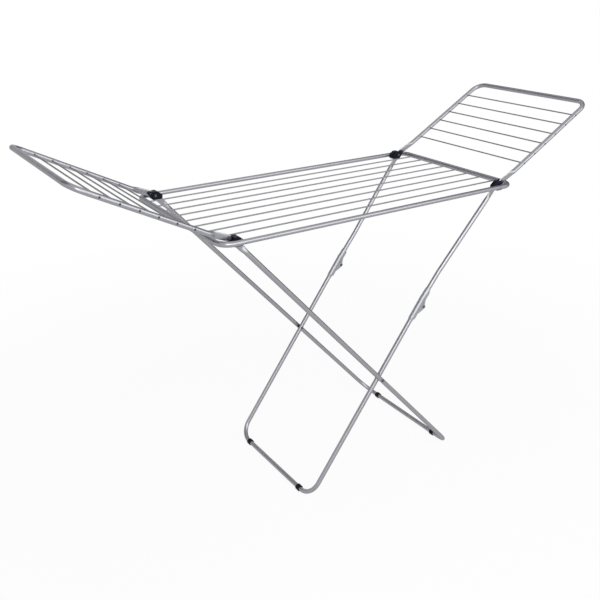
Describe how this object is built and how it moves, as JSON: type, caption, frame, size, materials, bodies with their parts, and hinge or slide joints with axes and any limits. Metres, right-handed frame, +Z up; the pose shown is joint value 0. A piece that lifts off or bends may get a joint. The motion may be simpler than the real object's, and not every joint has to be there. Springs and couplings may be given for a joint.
{
  "type": "winged clothes drying rack",
  "caption": "Folding clothes drying rack of silver tube, with a wired deck, raised side wings, black hinge blocks and crossed legs that fold flat.",
  "frame": {"origin": "on the floor, under the middle of the overall length and width", "axes": "+X along the deck from the outer legs' hinges to the inner legs' hinges, +Y across to the rear rail, +Z up"},
  "size_m": [1.7876, 0.556, 1.189],
  "materials": {
    "silver_tube": "satin silver paint",
    "wire_coat": "satin silver paint",
    "black_moulding": "fine matt",
    "black_rubber": "matt",
    "grey_moulding": "satin",
    "rivet_steel": "bright zinc"
  },
  "bodies": {
    "deck": {"hoop_left": "silver_tube", "hoop_right": "silver_tube", "rail_front": "silver_tube", "rail_rear": "silver_tube", "deck_wire_1": "wire_coat", "deck_wire_2": "wire_coat", "deck_wire_3": "wire_coat", "deck_wire_4": "wire_coat", "deck_wire_5": "wire_coat", "deck_wire_6": "wire_coat", "deck_wire_7": "wire_coat", "deck_wire_8": "wire_coat", "hinge_block_front_left": "black_moulding", "hinge_pin_front_left": "rivet_steel", "wing_pin_front_left": "rivet_steel", "hinge_block_front_right": "black_moulding", "hinge_pin_front_right": "rivet_steel", "wing_pin_front_right": "rivet_steel", "hinge_block_rear_left": "black_moulding", "hinge_pin_rear_left": "rivet_steel", "wing_pin_rear_left": "rivet_steel", "hinge_block_rear_right": "black_moulding", "hinge_pin_rear_right": "rivet_steel", "wing_pin_rear_right": "rivet_steel"},
    "left_wing": {"wing_frame_left": "silver_tube", "wing_wire_left_1": "wire_coat", "wing_wire_left_2": "wire_coat", "wing_wire_left_3": "wire_coat", "wing_wire_left_4": "wire_coat", "wing_wire_left_5": "wire_coat", "wing_wire_left_6": "wire_coat"},
    "right_wing": {"wing_frame_right": "silver_tube", "wing_wire_right_1": "wire_coat", "wing_wire_right_2": "wire_coat", "wing_wire_right_3": "wire_coat", "wing_wire_right_4": "wire_coat", "wing_wire_right_5": "wire_coat", "wing_wire_right_6": "wire_coat"},
    "outer_legs": {"outer_leg": "silver_tube", "outer_foot_front": "black_rubber", "crossing_rivet_front": "rivet_steel", "crossing_spacer_front": "black_moulding", "outer_foot_rear": "black_rubber", "crossing_rivet_rear": "rivet_steel", "crossing_spacer_rear": "black_moulding"},
    "inner_upper_legs": {"upper_leg_front": "silver_tube", "knee_tongue_front": "grey_moulding", "upper_leg_rear": "silver_tube", "knee_tongue_rear": "grey_moulding"},
    "inner_lower_legs": {"inner_leg": "silver_tube", "knee_fork_front": "grey_moulding", "knee_pin_front": "rivet_steel", "inner_foot_front": "black_rubber", "crossing_tail_front": "rivet_steel", "knee_fork_rear": "grey_moulding", "knee_pin_rear": "rivet_steel", "inner_foot_rear": "black_rubber", "crossing_tail_rear": "rivet_steel"}
  },
  "joints": [
    {"name": "outer_leg_fold", "type": "hinge", "parent": "deck", "child": "outer_legs", "pos_m": [-0.48019, 0, 0.96], "axis": [0, -1, 0], "range_deg": [0, 42.9]},
    {"name": "upper_leg_fold", "type": "hinge", "parent": "deck", "child": "inner_upper_legs", "pos_m": [0.48981, 0, 0.96], "axis": [0, 1, 0], "range_deg": [0, 51.11]},
    {"name": "knee_fold", "type": "hinge", "parent": "inner_upper_legs", "child": "inner_lower_legs", "pos_m": [0.22033, 0, 0.5887], "axis": [0, -1, 0], "range_deg": [0, 171.25]},
    {"name": "left_wing_fold", "type": "hinge", "parent": "deck", "child": "left_wing", "pos_m": [-0.49519, 0, 0.9683], "axis": [0, 1, 0], "range_deg": [0, 148.2]},
    {"name": "right_wing_fold", "type": "hinge", "parent": "deck", "child": "right_wing", "pos_m": [0.50481, 0, 0.9683], "axis": [0, -1, 0], "range_deg": [0, 145.5]}
  ],
  "couplings": [
    {"joint": "upper_leg_fold", "follows": "outer_leg_fold", "ratio": 1.189},
    {"joint": "knee_fold", "follows": "outer_leg_fold", "ratio": 3.9895}
  ]
}
